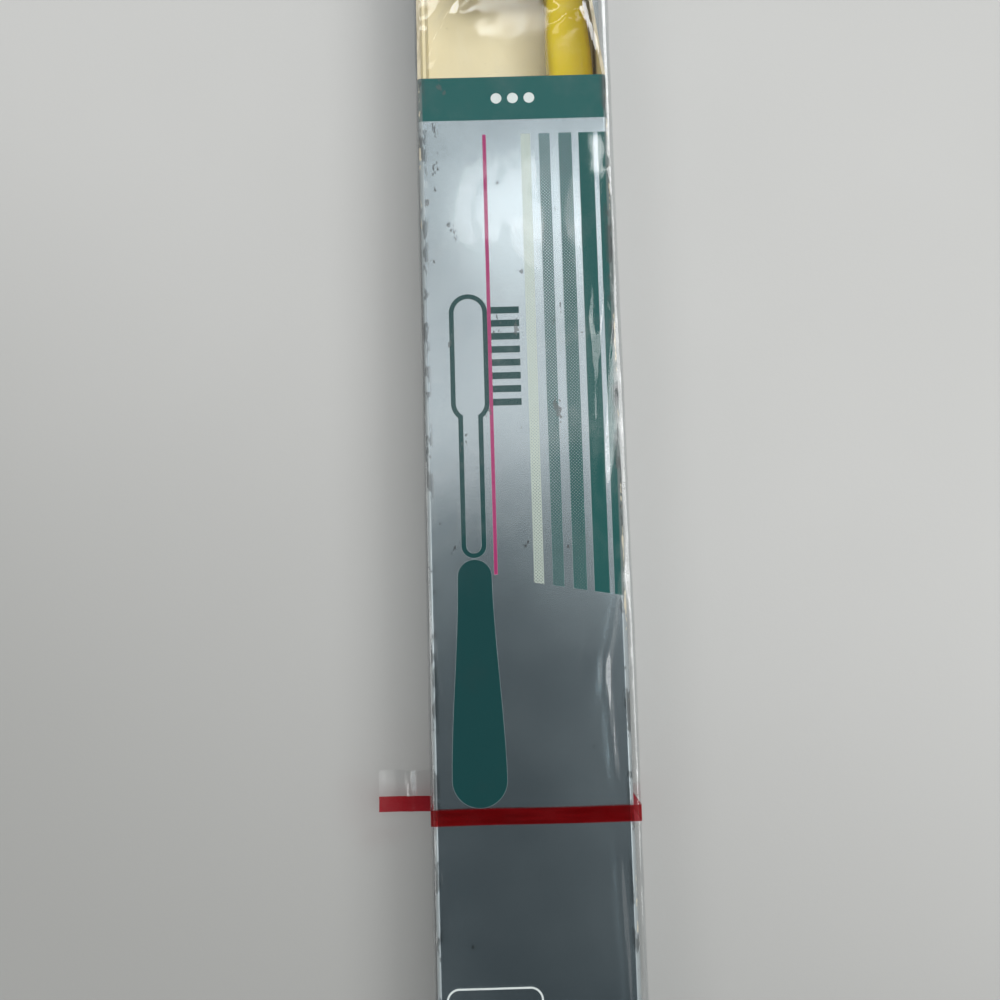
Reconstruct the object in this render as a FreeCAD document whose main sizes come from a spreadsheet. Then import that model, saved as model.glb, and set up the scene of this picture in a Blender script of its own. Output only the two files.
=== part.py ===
# A boxed manual toothbrush: an angled brush in a windowed folding carton, overwrapped in clear film.
# Frame: X across the carton, Y along it towards the window end, Z up from the film under the back panel.
# All sizes are in millimetres and degrees.
import FreeCAD
import Part
import Sketcher

import math
import os
import re

# Driving dimensions, each written once. They fill the sheet called Sizes.
SIZES = {
    # Brush moulding: the handle runs from its butt to the elbow, the reach from the elbow to the head's tip.
    "handle_length": 138,
    "reach_length": 48,
    "handle_lean": 5,
    "head_lean": 3.2,
    "bend_radius": 80,
    "butt_width": 10.4,
    "butt_thickness": 5.4,
    "grip_width": 12,
    "grip_thickness": 6.2,
    "waist_width": 10.2,
    "waist_thickness": 6.4,
    "thumb_width": 11.6,
    "thumb_thickness": 7,
    "neck_width": 6.8,
    "neck_thickness": 6.3,
    "head_width": 11.2,
    "head_thickness": 5,
    "head_length": 29,
    "shoulder_length": 6,
    "blend_inset": 0.3,
    "shoulder_radius": 8,
    "head_tip_radius": 4.6,
    "rim_radius": 1.2,
    "edge_radius": 1.8,
    "butt_radius": 1.4,
    # Tufts of nylon filament, folded over flat anchors in blind holes.
    "row_count": 4,
    "tuft_count": 10,
    "row_pitch": 2.4,
    "tuft_pitch": 2.45,
    "tip_margin": 3.2,
    "tuft_radius": 0.85,
    "tuft_dome": 0.4,
    "bristle_length": 11.5,
    "hole_depth": 3.2,
    "hole_clearance": 0.03,
    "anchor_length": 2.2,
    "anchor_height": 1.3,
    "anchor_gauge": 0.3,
    # Folding carton of solid board.
    "board": 0.45,
    "fold_gap": 0.15,
    "end_play": 7.5,
    "side_play": 0.35,
    "bristle_play": 4.73,
    "rest_gap": 0.3,
    "headroom": 2.8,
    "end_strip": 9,
    "window_length": 43.4,
    "glue_width": 9,
    "glue_taper": 3,
    "tuck_length": 7,
    "tuck_corner": 3,
    "dust_length": 9.5,
    "dust_foot": 1.2,
    "dust_foot_rise": 5,
    "dust_drop": 2.6,
    "dust_drop_more": 2.6,
    # Film overwrap and its tear tape.
    "film": 0.06,
    "film_slack": 0.25,
    "seam_overlap": 6,
    "tape_width": 2,
    "tape_gauge": 0.1,
    "tape_from_end": 53.1,
    "tab_length": 6.9,
    "tab_film_width": 3.4,
    "tab_gap": 0.2,
}

# Sizes that follow from the driving ones. They fill the sheet called Derived.
DERIVED = {
    "widest": "max(grip_width; thumb_width)",
    "brush_span": "handle_length * cos(handle_lean) + reach_length * cos(head_lean)",
    "elbow_y": "handle_length * cos(handle_lean) - brush_span / 2",
    "last_tuft": "reach_length - tip_margin",
    "first_tuft": "last_tuft - (tuft_count - 1) * tuft_pitch",
    "bristle_reach": "(last_tuft + tuft_radius) * sin(head_lean)"
    " + (head_thickness / 2 + bristle_length) * cos(head_lean)",
    "bend_half": "(handle_lean + head_lean) / 2",
    "bend_middle": "(head_lean - handle_lean) / 2",
    "bend_tangent": "bend_radius * tan(bend_half)",
    "bend_inset": "bend_radius * (1 / cos(bend_half) - 1)",
    "inner_width": "side_play + neck_thickness / 2 - bend_inset + bristle_reach + bristle_play",
    "elbow_x": "inner_width / 2 - side_play - neck_thickness / 2 + bend_inset",
    "carton_width": "inner_width + 2 * board",
    "carton_depth": "rest_gap + widest + headroom + 2 * board",
    "inner_length": "brush_span + 2 * end_play",
    "carton_length": "inner_length + 2 * (2 * board + fold_gap)",
    "back_z": "film + film_slack",
    "front_z": "back_z + carton_depth",
    "axis_z": "back_z + board + rest_gap + widest / 2",
    "window_top": "carton_length / 2 - end_strip",
    "window_bottom": "window_top - window_length",
    "side_length": "carton_length - 2 * (board + fold_gap)",
    "side_height": "carton_depth - 2 * board",
    "lid_height": "side_height - fold_gap",
    "tuck_z": "back_z + board + lid_height - board",
    "wrap_width": "carton_width + 2 * (film_slack + film)",
    "wrap_depth": "carton_depth + 2 * (film_slack + film)",
    "wrap_end": "carton_length / 2 + film_slack",
    "tape_y": "tape_from_end - carton_length / 2",
    "tape_top": "tape_y + tape_width / 2",
    "tape_bottom": "tape_y - tape_width / 2",
    "seam_z": "wrap_depth / 2",
}

doc = FreeCAD.newDocument("boxed_toothbrush")


def qualified(expression):
    """Adds its sheet's name to each size that an expression mentions."""

    def with_sheet(match):
        word = match.group(0)
        if word in SIZES:
            return "Sizes." + word
        return "Derived." + word if word in DERIVED else word

    return re.sub(r"[A-Za-z_]\w*", with_sheet, str(expression))


def fill_sheets():
    """Writes both sheets, each row a name and a value with that name as its alias."""
    sizes = doc.addObject("Spreadsheet::Sheet", "Sizes")
    for row, (name, number) in enumerate(SIZES.items(), 1):
        sizes.set(f"A{row}", name)
        sizes.set(f"B{row}", str(number))
        sizes.setAlias(f"B{row}", name)
    doc.recompute()
    derived = doc.addObject("Spreadsheet::Sheet", "Derived")
    for row, (name, expression) in enumerate(DERIVED.items(), 1):
        derived.set(f"A{row}", name)
        derived.setAlias(f"B{row}", name)
        derived.set(f"B{row}", "=" + qualified(expression))
        doc.recompute()
    return sizes


sheet = fill_sheets()


def value(expression):
    """The number that an expression gives now."""
    result = sheet.evalExpression(qualified(expression))
    return float(getattr(result, "Value", result))


def bind(thing, **expressions):
    """Ties an object's properties to expressions. A double underscore in a name stands for a dot."""
    for name, expression in expressions.items():
        thing.setExpression(name.replace("__", "."), qualified(expression))


def place(thing, x="0", y="0", z="0"):
    bind(thing, Placement__Base__x=x, Placement__Base__y=y, Placement__Base__z=z)
    return thing


def new_body(label):
    body = doc.addObject("PartDesign::Body", label)
    body.Label = label
    body.AllowCompound = True
    return body


def new_sketch(body, plane, name):
    """A sketch on one of its body's origin planes: XY, XZ or YZ."""
    sketch = body.newObject("Sketcher::SketchObject", name)
    support = next(f for f in body.Origin.OriginFeatures if f.Role == plane + "_Plane")
    sketch.AttachmentSupport = (support, [""])
    sketch.MapMode = "FlatFace"
    return sketch


def dimension(sketch, kind, *target_and_expression):
    """Adds a dimension whose value is an expression."""
    *target, expression = target_and_expression
    index = sketch.addConstraint(Sketcher.Constraint(kind, *target, value(expression)))
    sketch.setExpression(f"Constraints[{index}]", qualified(expression))


def draw_outline(sketch, corners):
    """A closed outline of straight edges, each corner held by two expressions from the sketch's origin."""
    first = sketch.GeometryCount
    count = len(corners)
    points = [FreeCAD.Vector(value(x), value(y), 0) for x, y in corners]
    for i in range(count):
        sketch.addGeometry(Part.LineSegment(points[i], points[(i + 1) % count]), False)
    for i in range(count):
        following = first + (i + 1) % count
        sketch.addConstraint(Sketcher.Constraint("Coincident", first + i, 2, following, 1))
    for i, (x, y) in enumerate(corners):
        dimension(sketch, "DistanceX", -1, 1, first + i, 1, x)
        dimension(sketch, "DistanceY", -1, 1, first + i, 1, y)


def rectangle(left, bottom, right, top):
    return [(left, bottom), (right, bottom), (right, top), (left, top)]


def pad(body, sketch, length, name="Pad"):
    feature = body.newObject("PartDesign::Pad", name)
    feature.Profile = sketch
    bind(feature, Length=length)
    return feature


def plate(label, plane, corners, x="0", y="0", z="0"):
    """A flat piece of board, drawn in its own plane and set in place."""
    body = new_body(label)
    sketch = new_sketch(body, plane, label + "_outline")
    draw_outline(sketch, corners)
    pad(body, sketch, "board")
    return place(body, x, y, z)


def make_sleeve():
    """The carton's tube: panels that meet at the creases, with the window cut from fold to fold."""
    half = "carton_width / 2"
    half_length = "carton_length / 2"
    front = "front_z - board"
    plate("back_panel", "XY", rectangle(f"-{half}", f"-{half_length}", half, half_length), z="back_z")
    plate("front_panel", "XY", rectangle(f"-{half}", f"-{half_length}", half, "window_bottom"), z=front)
    plate("front_end_strip", "XY", rectangle(f"-{half}", "window_top", half, half_length), z=front)
    side = rectangle("-side_length / 2", "0", "side_length / 2", "side_height")
    plate("left_panel", "YZ", side, x=f"-{half}", z="back_z + board")
    plate("right_panel", "YZ", side, x=f"{half} - board", z="back_z + board")
    end = "inner_length / 2 - glue_taper"
    glue = [
        (f"-({end})", "0"),
        (end, "0"),
        (f"{end} - glue_taper", "glue_width"),
        (f"glue_taper - ({end})", "glue_width"),
    ]
    plate("glue_flap", "YZ", glue, x="board - " + half, z="back_z + board")


def make_end(name, sign):
    """One end's closure: a lid on the back panel, its tuck tab, and two dust flaps on the side panels."""
    half = "carton_width / 2"
    outward = "" if sign > 0 else "-"
    lid_y = "carton_length / 2 - board"
    lid = rectangle(f"fold_gap - {half}", "0", f"{half} - fold_gap", "lid_height")
    plate(name + "_lid", "XZ", lid, y="carton_length / 2" if sign > 0 else f"-({lid_y})", z="back_z + board")
    make_tuck_tab(name, sign, half, lid_y)
    root = "side_height - fold_gap - board - dust_drop"
    tip = f"{root} - dust_drop_more"
    for side, turn in (("left", ""), ("right", "-")):
        reach = turn + "dust_length"
        flap = [("0", "dust_foot"), (reach, "dust_foot + dust_foot_rise"), (reach, tip), ("0", root)]
        flap_y = f"{lid_y} - fold_gap" + ("" if sign > 0 else " - board")
        flap_x = f"board - {half}" if side == "left" else f"{half} - board"
        plate(f"{name}_dust_flap_{side}", "XZ", flap, x=flap_x, y=f"{outward}({flap_y})", z="back_z + board")


def make_tuck_tab(name, sign, half, lid_y):
    """The tab under the front panel, with its free corners rounded."""
    wide = f"{half} - board - fold_gap"
    inner = f"{lid_y} - tuck_length"
    near, far = (inner, lid_y) if sign > 0 else (f"-({lid_y})", f"-({inner})")
    body = plate(name + "_tuck_tab", "XY", rectangle(f"-({wide})", near, wide, far), z="tuck_z")
    doc.recompute()
    pad_feature = body.Tip
    free_y = value(inner) * sign
    corners = []
    for index, edge in enumerate(pad_feature.Shape.Edges, 1):
        ends = [vertex.Point for vertex in edge.Vertexes]
        upright = abs(ends[0].z - ends[1].z) > value("board") / 2
        if upright and abs(ends[0].y - free_y) < value("fold_gap"):
            corners.append(f"Edge{index}")
    fillet = body.newObject("PartDesign::Fillet", name + "_tuck_corners")
    fillet.Base = (pad_feature, corners)
    bind(fillet, Radius="tuck_corner")


def draw_section(sketch, width, thickness, radius):
    """A rounded rectangle about the sketch's origin: thickness across, width up."""
    across, up, corner = value(thickness) / 2, value(width) / 2, value(radius)
    flat_x, flat_y = across - corner, up - corner
    spans = [
        ((-flat_x, -up), (flat_x, -up)),
        ((across, -flat_y), (across, flat_y)),
        ((flat_x, up), (-flat_x, up)),
        ((-across, flat_y), (-across, -flat_y)),
    ]
    centres = [(flat_x, -flat_y), (flat_x, flat_y), (-flat_x, flat_y), (-flat_x, -flat_y)]
    quarter = math.pi / 2
    for side in range(4):
        start, end = (FreeCAD.Vector(*point, 0) for point in spans[side])
        sketch.addGeometry(Part.LineSegment(start, end), False)
        circle = Part.Circle(FreeCAD.Vector(*centres[side], 0), FreeCAD.Vector(0, 0, 1), corner)
        sketch.addGeometry(Part.ArcOfCircle(circle, quarter * (side - 1), quarter * side), False)
    for side in range(4):
        line, arc, following = 2 * side, 2 * side + 1, (2 * side + 2) % 8
        sketch.addConstraint(Sketcher.Constraint("Tangent", line, 2, arc, 1))
        sketch.addConstraint(Sketcher.Constraint("Tangent", arc, 2, following, 1))
        sketch.addConstraint(Sketcher.Constraint("Vertical" if side % 2 else "Horizontal", line))
        if side:
            sketch.addConstraint(Sketcher.Constraint("Equal", 1, arc))
    sketch.addConstraint(Sketcher.Constraint("Symmetric", 0, 1, 4, 1, -1, 1))
    dimension(sketch, "DistanceX", 6, 1, 2, 1, thickness)
    dimension(sketch, "DistanceY", 0, 1, 4, 1, width)
    dimension(sketch, "Radius", 1, radius)


def section(body, name, x, y, lean, width, thickness, radius="edge_radius"):
    """A section of the moulding, square to an axis that leans from Y, towards -X if the lean is positive."""
    sketch = new_sketch(body, "XZ", name)
    turn = FreeCAD.Rotation(FreeCAD.Vector(0, 1, 0), value(lean))
    sketch.AttachmentOffset = FreeCAD.Placement(FreeCAD.Vector(), turn)
    bind(
        sketch,
        AttachmentOffset__Base__x=x,
        AttachmentOffset__Base__z=f"-({y})",
        AttachmentOffset__Rotation__Angle=lean,
    )
    draw_section(sketch, width, thickness, radius)
    return sketch


def make_handle():
    """Handle, neck and head in one moulding: a filleted head, a lofted handle, then the blind tuft holes."""
    body = new_body("handle")
    make_head(body)
    sections = [section(body, *station) for station in handle_stations()]
    loft = body.newObject("PartDesign::AdditiveLoft", "handle_loft")
    loft.Profile = sections[0]
    loft.Sections = sections[1:]
    loft.Ruled = True
    doc.recompute()
    butt_y = -value("handle_length * cos(handle_lean)")
    butt_edges = edges_where(loft, lambda point: point.y < butt_y + value("edge_radius") / 2)
    butt = body.newObject("PartDesign::Fillet", "butt_round")
    butt.Base = (loft, butt_edges)
    bind(butt, Radius="butt_radius")
    doc.recompute()
    for rows in grouped_rows():
        cut_holes(body, rows)
    return place(body, "elbow_x", "elbow_y", "axis_z")


def cut_holes(body, rows):
    """The blind tuft holes of rows that are equally long."""
    before = body.Tip.Shape.Volume
    sketch = head_sketch(body, f"holes_{rows[0] + 1}", "head_thickness / 2", first_in(rows[0]))
    for row in rows:
        draw_outline(sketch, octagon("tuft_radius + hole_clearance", row_offset(row)))
    pocket = body.newObject("PartDesign::Pocket", f"hole_{rows[0] + 1}")
    pocket.Profile = sketch
    pocket.Reversed = True
    bind(pocket, Length="hole_depth")
    doc.recompute()
    assert pocket.Shape.Volume < before, "the tuft holes cut nothing"
    repeat_along_head(body, [pocket], sketch, rows[0])
    doc.recompute()


def on_axis(along, lean):
    """A point at a distance from the elbow on an axis through it, as expressions for x and y."""
    return f"-({along}) * sin({lean})", f"({along}) * cos({lean})"


def handle_stations():
    """The loft's sections: along the handle, round the bend, and along the neck into the head."""
    stations = []
    straight = "(handle_length - bend_tangent)"
    keys = ["butt", "grip", "waist", "thumb", "neck"]
    steps = 4
    for here, there in zip(keys, keys[1:]):
        for step in range(steps):
            share = step / steps
            ease = share * share * (3 - 2 * share)
            width = f"{here}_width + ({there}_width - {here}_width) * {ease}"
            thickness = f"{here}_thickness + ({there}_thickness - {here}_thickness) * {ease}"
            count = len(stations)
            along = f"{straight} * {count} / {steps * (len(keys) - 1)} - handle_length"
            x, y = on_axis(along, "-handle_lean")
            stations.append((f"handle_{count}", x, y, "-handle_lean", width, thickness))
    bends = 4
    for step in range(bends + 1):
        lean = f"((handle_lean + head_lean) * {step / bends} - handle_lean)"
        x = f"bend_radius * (cos({lean}) - cos(bend_middle) / cos(bend_half))"
        y = f"bend_radius * (sin({lean}) - sin(bend_middle) / cos(bend_half))"
        stations.append((f"bend_{step}", x, y, lean, "neck_width", "neck_thickness"))
    root = "(reach_length - head_length)"
    inside = f"{root} + shoulder_length * 0.7"
    thin = "head_thickness - blend_inset"
    slimming = (("neck", f"{root} * 0.65", 0.05), ("shoulder", root, 0.6), ("head_root", inside, 1))
    for name, along, share in slimming:
        thickness = f"neck_thickness + ({thin} - neck_thickness) * {share}"
        stations.append((name, *on_axis(along, "head_lean"), "head_lean", "neck_width", thickness))
    return stations


def edges_where(feature, test):
    """The names of a feature's edges whose ends and middle all pass a test."""
    names = []
    for index, edge in enumerate(feature.Shape.Edges, 1):
        middle = edge.valueAt((edge.FirstParameter + edge.LastParameter) / 2)
        if all(test(point) for point in [middle] + [vertex.Point for vertex in edge.Vertexes]):
            names.append(f"Edge{index}")
    return names


def make_head(body):
    """The head: its plan outline padded to its thickness, with eased shoulders and a rounded rim."""
    sketch = new_sketch(body, "YZ", "head_outline")
    turn = FreeCAD.Rotation(FreeCAD.Vector(0, 1, 0), value("head_lean"))
    sketch.AttachmentOffset = FreeCAD.Placement(FreeCAD.Vector(), turn)
    bind(sketch, AttachmentOffset__Rotation__Angle="head_lean")
    draw_head(sketch)
    head = pad(body, sketch, "head_thickness", "head")
    head.Midplane = True
    doc.recompute()
    flat = head_turn().inverted()
    shoulder = value("reach_length - head_length + shoulder_length")
    near = value("rim_radius") / 8
    shoulders = edges_where(head, lambda point: abs(flat.multVec(point).y - shoulder) < near)
    ease = body.newObject("PartDesign::Fillet", "shoulders")
    ease.Base = (head, shoulders)
    bind(ease, Radius="shoulder_radius")
    doc.recompute()
    half = value("head_thickness") / 2
    root = value("reach_length - head_length")

    def on_rim(point):
        local = flat.multVec(point)
        return abs(abs(local.x) - half) < near

    whole = edges_where(ease, on_rim)
    at_root = edges_where(ease, lambda point: abs(flat.multVec(point).y - root) < near)
    rim = body.newObject("PartDesign::Fillet", "head_rim")
    rim.Base = (ease, [name for name in whole if name not in at_root])
    bind(rim, Radius="rim_radius")
    doc.recompute()


def draw_head(sketch):
    """The head in plan: x along it from the elbow, y across. Its tip is two arcs and a short flat."""
    root, tip = "reach_length - head_length", "reach_length"
    shoulder = f"{root} + shoulder_length"
    narrow, wide = "neck_width / 2", "head_width / 2"
    corners = [(root, f"-{narrow}"), (shoulder, f"-{wide}"), (shoulder, wide), (root, narrow)]
    start, low, high, finish = (FreeCAD.Vector(value(x), value(y), 0) for x, y in corners)
    radius = value("head_tip_radius")
    bend_x, bend_y, end_x = value(tip) - radius, value(wide) - radius, value(tip)
    flat = [FreeCAD.Vector(end_x, -bend_y, 0), FreeCAD.Vector(end_x, bend_y, 0)]
    up = FreeCAD.Vector(0, 0, 1)
    quarter = math.pi / 2
    lower = Part.Circle(FreeCAD.Vector(bend_x, -bend_y, 0), up, radius)
    upper = Part.Circle(FreeCAD.Vector(bend_x, bend_y, 0), up, radius)
    sketch.addGeometry(Part.LineSegment(start, low), False)
    sketch.addGeometry(Part.LineSegment(low, FreeCAD.Vector(bend_x, low.y, 0)), False)
    sketch.addGeometry(Part.ArcOfCircle(lower, -quarter, 0), False)
    sketch.addGeometry(Part.LineSegment(*flat), False)
    sketch.addGeometry(Part.ArcOfCircle(upper, 0, quarter), False)
    sketch.addGeometry(Part.LineSegment(FreeCAD.Vector(bend_x, high.y, 0), high), False)
    sketch.addGeometry(Part.LineSegment(high, finish), False)
    sketch.addGeometry(Part.LineSegment(finish, start), False)
    for line, following in ((0, 1), (5, 6), (6, 7), (7, 0)):
        sketch.addConstraint(Sketcher.Constraint("Coincident", line, 2, following, 1))
    for line in range(1, 5):
        sketch.addConstraint(Sketcher.Constraint("Tangent", line, 2, line + 1, 1))
    sketch.addConstraint(Sketcher.Constraint("Horizontal", 1))
    sketch.addConstraint(Sketcher.Constraint("Horizontal", 5))
    sketch.addConstraint(Sketcher.Constraint("Vertical", 3))
    sketch.addConstraint(Sketcher.Constraint("Equal", 2, 4))
    for (line, end), (x, y) in zip(((0, 1), (0, 2), (6, 1), (6, 2)), corners):
        dimension(sketch, "DistanceX", -1, 1, line, end, x)
        dimension(sketch, "DistanceY", -1, 1, line, end, y)
    dimension(sketch, "DistanceX", -1, 1, 3, 1, tip)
    dimension(sketch, "Radius", 2, "head_tip_radius")


def head_sketch(body, name, below_face, along):
    """A sketch parallel to the bristle face, at a distance from the elbow. Its x runs along the head."""
    sketch = new_sketch(body, "YZ", name)
    turn = FreeCAD.Rotation(FreeCAD.Vector(0, 1, 0), value("head_lean"))
    sketch.AttachmentOffset = FreeCAD.Placement(FreeCAD.Vector(), turn)
    bind(
        sketch,
        AttachmentOffset__Base__x=f"({along}) * cos(head_lean) - ({below_face}) * sin(head_lean)",
        AttachmentOffset__Base__z=f"-({along}) * sin(head_lean) - ({below_face}) * cos(head_lean)",
        AttachmentOffset__Rotation__Angle="head_lean",
    )
    return sketch


def head_turn():
    """The turn from the body's axes to the head's."""
    return FreeCAD.Rotation(FreeCAD.Vector(0, 0, 1), value("head_lean"))


def row_offset(row):
    """The distance of a row from the middle of the head."""
    return f"({row} - (row_count - 1) / 2) * row_pitch"


def is_outer(row):
    """The first and last rows are one tuft shorter at each end, where the head is narrower."""
    return row in (0, SIZES["row_count"] - 1)


def grouped_rows():
    rows = range(SIZES["row_count"])
    return [[row for row in rows if not is_outer(row)], [row for row in rows if is_outer(row)]]


def first_in(row):
    return "first_tuft + tuft_pitch" if is_outer(row) else "first_tuft"


def count_in(row):
    return "tuft_count - 2" if is_outer(row) else "tuft_count"


def octagon(radius, across="0"):
    """The corners of a regular octagon whose flats lie a radius from its middle."""
    corners = []
    for step in range(8):
        angle = 22.5 + 45 * step
        reach = f"({radius}) / cos(22.5)"
        corners.append((f"{reach} * cos({angle})", f"{across} + {reach} * sin({angle})"))
    return corners


def repeat_along_head(body, features, sketch, row):
    """Copies features from the first tuft of a row to its last, along the head."""
    pattern = body.newObject("PartDesign::LinearPattern", f"{body.Label}_repeat_{row + 1}")
    pattern.Originals = features
    pattern.Direction = (sketch, ["H_Axis"])
    bind(pattern, Length=f"({count_in(row)} - 1) * tuft_pitch", Occurrences=count_in(row))
    body.Tip = pattern


def make_tuft_row(row):
    """One row of tufts: each is a bundle with a rounded end, slotted at its foot over its anchor."""
    body = new_body(f"tuft_row_{row + 1}")
    foot = head_sketch(body, "tuft_foot", "head_thickness / 2 - hole_depth", first_in(row))
    draw_outline(foot, octagon("tuft_radius", row_offset(row)))
    bundle = pad(body, foot, "hole_depth + bristle_length", "bundle")
    bundle.Reversed = True
    doc.recompute()
    outward = head_turn().multVec(FreeCAD.Vector(-1, 0, 0))
    end = value("head_thickness / 2 + bristle_length")
    near = value("tuft_radius") / 4
    rim = edges_where(bundle, lambda point: abs(point.dot(outward) - end) < near)
    dome = body.newObject("PartDesign::Chamfer", "dome")
    dome.Base = (bundle, rim)
    bind(dome, Size="tuft_dome")
    doc.recompute()
    slot = head_sketch(body, "anchor_slot", "head_thickness / 2 - hole_depth", first_in(row))
    half = "anchor_gauge / 2 + hole_clearance"
    low, high = (f"{row_offset(row)} {sign} 2 * tuft_radius" for sign in "-+")
    draw_outline(slot, rectangle(f"-({half})", low, half, high))
    fold = body.newObject("PartDesign::Pocket", "fold")
    fold.Profile = slot
    bind(fold, Length="anchor_height + hole_clearance")
    doc.recompute()
    assert fold.Shape.Volume < dome.Shape.Volume, "the anchor slot cuts nothing"
    repeat_along_head(body, [bundle, dome, fold], foot, row)
    return place(body, "elbow_x", "elbow_y", "axis_z")


def make_anchors():
    """Flat anchors, one in the foot of each hole, a little longer than the hole is wide."""
    body = new_body("tuft_anchors")
    below = "head_thickness / 2 - hole_depth + anchor_height"
    for rows in grouped_rows():
        sketch = head_sketch(body, f"anchors_{rows[0] + 1}", below, first_in(rows[0]))
        for row in rows:
            low, high = (f"{row_offset(row)} {sign} anchor_length / 2" for sign in "-+")
            draw_outline(sketch, rectangle("-anchor_gauge / 2", low, "anchor_gauge / 2", high))
        strips = pad(body, sketch, "anchor_height", f"strips_{rows[0] + 1}")
        doc.recompute()
        repeat_along_head(body, [strips], sketch, rows[0])
        doc.recompute()
    return place(body, "elbow_x", "elbow_y", "axis_z")


def panel_box(name, x, y, z, length, width, height):
    """A flat stretch of film or tape between folds: its lowest corner, then its size along X, Y and Z."""
    box = doc.addObject("Part::Box", name)
    bind(box, Length=length, Width=width, Height=height)
    return place(box, x, y, z)


def fold_flap(name, sign, layer, upper):
    """A trapezoid of film folded over the carton's end, from the lower or the upper edge past the middle."""
    flap = doc.addObject("Part::Wedge", name)
    half = "wrap_width / 2"
    reach = "wrap_depth / 2 + seam_overlap / 4"
    bind(flap, Xmin=f"-{half}", Xmax=half, X2min=f"{reach} - {half}", X2max=f"{half} - ({reach})")
    bind(flap, Ymin="0", Ymax=reach, Zmin="0", Zmax="film", Z2min="0", Z2max="film")
    flap.Placement.Rotation = FreeCAD.Rotation(FreeCAD.Vector(1, 0, 0), -90 if upper else 90)
    near = f"wrap_end + {layer} * film"
    outer_first = (sign > 0) != upper
    y = f"{near} + film" if outer_first else near
    if sign < 0:
        y = f"-({near})" if outer_first else f"-({near} + film)"
    return place(flap, y=y, z="wrap_depth" if upper else "0")


def make_film(label, sign, start):
    """One part of the overwrap: a sleeve from the tape to an end, a lapped side seam, and the folded end."""
    half = "wrap_width / 2"
    end = "wrap_end"
    low, high = (start, end) if sign > 0 else (f"-{end}", start)
    span = f"{high} - ({low})"
    side_height = "wrap_depth - 2 * film"
    end_y = end if sign > 0 else f"-{end} - film"
    seam_low = "seam_z - seam_overlap / 2"
    walls = [
        panel_box(label + "_back", f"-{half}", low, "0", "wrap_width", span, "film"),
        panel_box(label + "_front", f"-{half}", low, "wrap_depth - film", "wrap_width", span, "film"),
        panel_box(label + "_left", f"-{half}", low, "film", "film", span, side_height),
        panel_box(label + "_right", f"{half} - film", low, "film", "film", span, side_height),
        panel_box(label + "_seam", f"-{half} - film", low, seam_low, "film", span, "seam_overlap"),
        panel_box(label + "_end", f"-{half}", end_y, "0", "wrap_width", "film", "wrap_depth"),
        fold_flap(label + "_lower_flap", sign, 1, False),
        fold_flap(label + "_upper_flap", sign, 2, True),
    ]
    return group(label, walls)


def make_tape():
    """The tear tape: a ring round the carton between the two parts of the film."""
    left, right = "-wrap_width / 2", "wrap_width / 2 - tape_gauge"
    start, top = "tape_bottom", "wrap_depth - tape_gauge"
    flat = ("wrap_width", "tape_width", "tape_gauge")
    upright = ("tape_gauge", "tape_width", "wrap_depth - 2 * tape_gauge")
    strips = [
        panel_box("tape_back", left, start, "0", *flat),
        panel_box("tape_front", left, start, top, *flat),
        panel_box("tape_left", left, start, "tape_gauge", *upright),
        panel_box("tape_right", right, start, "tape_gauge", *upright),
    ]
    return group("tear_tape", strips)


def make_tab():
    """The tape's free end and the flap of film that goes with it, standing out of the side seam."""
    outer = "-wrap_width / 2 - film - tab_gap - tab_length"
    strip = ("tab_length", "tape_width", "tape_gauge")
    flap = ("tab_length", "tab_film_width", "film")
    tape = panel_box("tab_tape_strip", outer, "tape_bottom", "seam_z", *strip)
    film = panel_box("tab_film_strip", outer, "tape_top", "seam_z", *flap)
    return [group("tear_tab", [tape]), group("tab_film", [film])]


def group(label, members):
    """Separate solids that make one piece."""
    compound = doc.addObject("Part::Compound", label)
    compound.Label = label
    compound.Links = members
    return compound


def make_all():
    make_sleeve()
    make_end("top", 1)
    make_end("bottom", -1)
    make_handle()
    for row in range(SIZES["row_count"]):
        make_tuft_row(row)
    make_anchors()
    make_film("film_main", 1, "tape_top")
    make_film("film_cap", -1, "tape_bottom")
    make_tape()
    make_tab()
    doc.recompute()


def pieces():
    """The objects that are pieces of the product, by label."""
    kinds = ("PartDesign::Body", "Part::Compound")
    return [thing for thing in doc.Objects if thing.TypeId in kinds]


def check():
    """Stops if any object failed or any piece has no sound solid."""
    for thing in doc.Objects:
        bad = {"Invalid", "Error"} & set(thing.State)
        assert not bad, f"{thing.Label} is {thing.State}"
    for piece in pieces():
        shape = piece.Shape
        assert not shape.isNull() and shape.isValid() and shape.Solids, f"{piece.Label} has no sound solid"


def write():
    os.makedirs("parts", exist_ok=True)
    for piece in pieces():
        piece.Shape.exportStep(f"parts/{piece.Label}.step")
        box = piece.Shape.BoundBox
        size = f"{box.XLength:.2f} x {box.YLength:.2f} x {box.ZLength:.2f}"
        print(f"{piece.Label}: {len(piece.Shape.Solids)} solids, {size} mm, {piece.Shape.Volume:.1f} mm3")


make_all()
check()
write()
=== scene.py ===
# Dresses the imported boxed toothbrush: printed carton, clear overwrap, tear tape and the brush inside.
# Everything is in metres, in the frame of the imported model.
import math
import random

import bmesh
import bpy
from mathutils import Matrix, Vector, noise


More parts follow.
